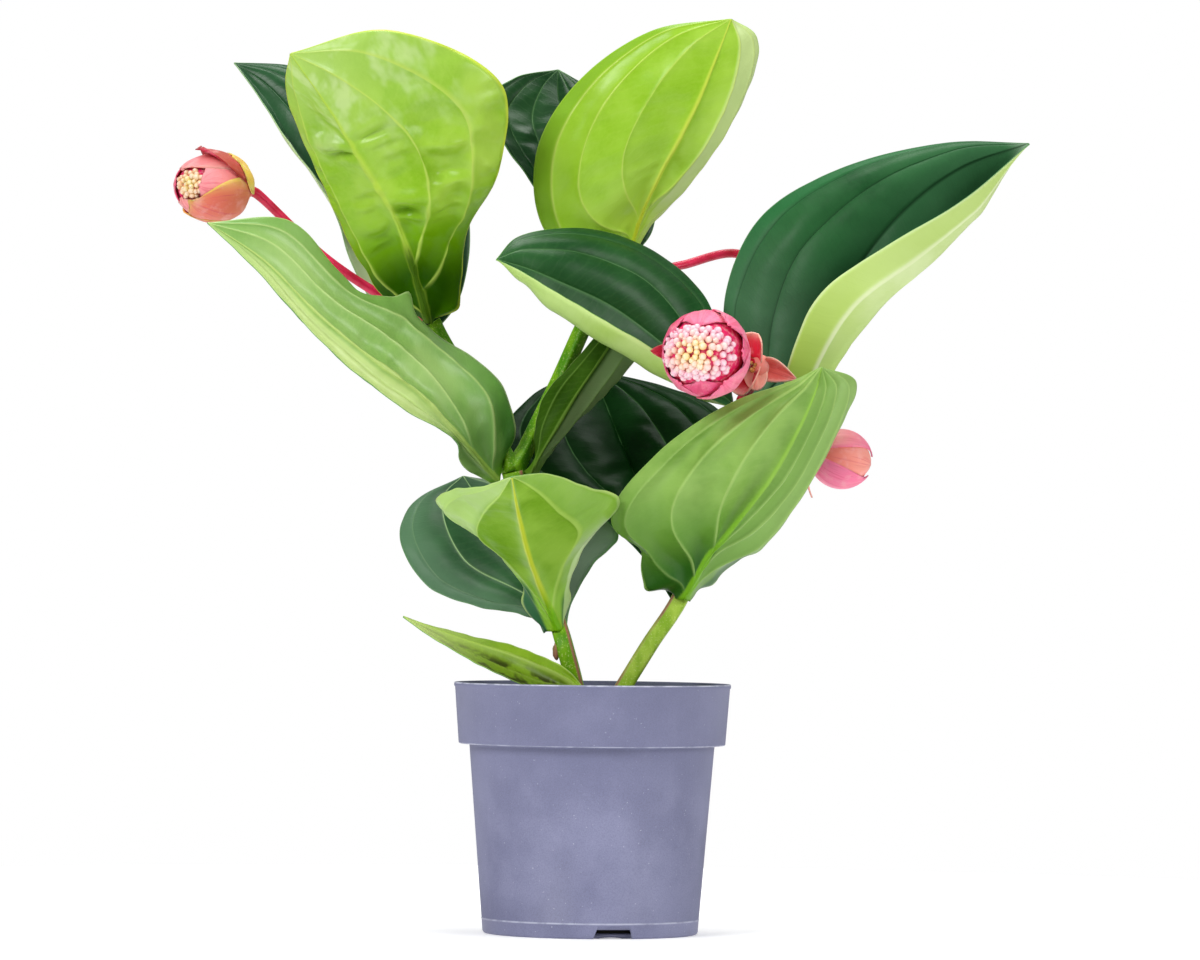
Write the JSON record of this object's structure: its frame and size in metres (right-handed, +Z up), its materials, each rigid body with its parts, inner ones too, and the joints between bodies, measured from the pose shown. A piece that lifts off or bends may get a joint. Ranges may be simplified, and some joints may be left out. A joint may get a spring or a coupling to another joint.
{
  "type": "potted medinilla",
  "caption": "Upright flowering house plant with broad ribbed leaves in pairs and nodding pink bract heads full of round buds, growing in a round tapered nursery pot.",
  "frame": {"origin": "centre of the pot's flat base, on the surface that it stands on", "axes": "+Z up along the pot's axis, +X to the right and -Y towards the viewer of the plant's front"},
  "size_m": [0.5288, 0.2401, 0.5658],
  "materials": {
    "pot_plastic": "lavender-grey moulded polypropylene, matt and faintly mottled, with a polished edge on the rim",
    "potting_soil": "moist dark peat and bark, rough and crumbly",
    "green_stem": "fresh green stem with four raised ridges, some of them brownish pink, satin",
    "leaf_blade": "leathery leaf, glossy deep green above and pale yellow-green below, with curved side veins",
    "red_stalk": "smooth crimson flower stalk, semi-gloss",
    "pink_bract": "thin pink petal-like bract with fine lengthwise veins, satin",
    "flower_bud": "small waxy round buds, cream to pink"
  },
  "bodies": {
    "root": {"pot": "pot_plastic", "soil": "potting_soil", "stem_left": "green_stem", "stem_right": "green_stem", "leaf_rim_low": "leaf_blade", "leaf_left_low_front": "leaf_blade", "leaf_left_low_back": "leaf_blade", "leaf_left_mid_left": "leaf_blade", "leaf_left_mid_right": "leaf_blade", "leaf_left_top_front": "leaf_blade", "leaf_left_top_back": "leaf_blade", "leaf_centre_top_front": "leaf_blade", "leaf_centre_top_back": "leaf_blade", "leaf_right_low_front": "leaf_blade", "leaf_right_low_back": "leaf_blade", "leaf_right_mid_left": "leaf_blade", "leaf_right_mid_right": "leaf_blade", "stalk_left": "red_stalk", "stalk_right": "red_stalk", "stalk_far_right": "red_stalk", "bracts_left": "pink_bract", "bracts_right": "pink_bract", "bracts_far_right": "pink_bract", "bracts_tier": "pink_bract", "buds_left": "flower_bud", "buds_right": "flower_bud"}
  },
  "joints": []
}
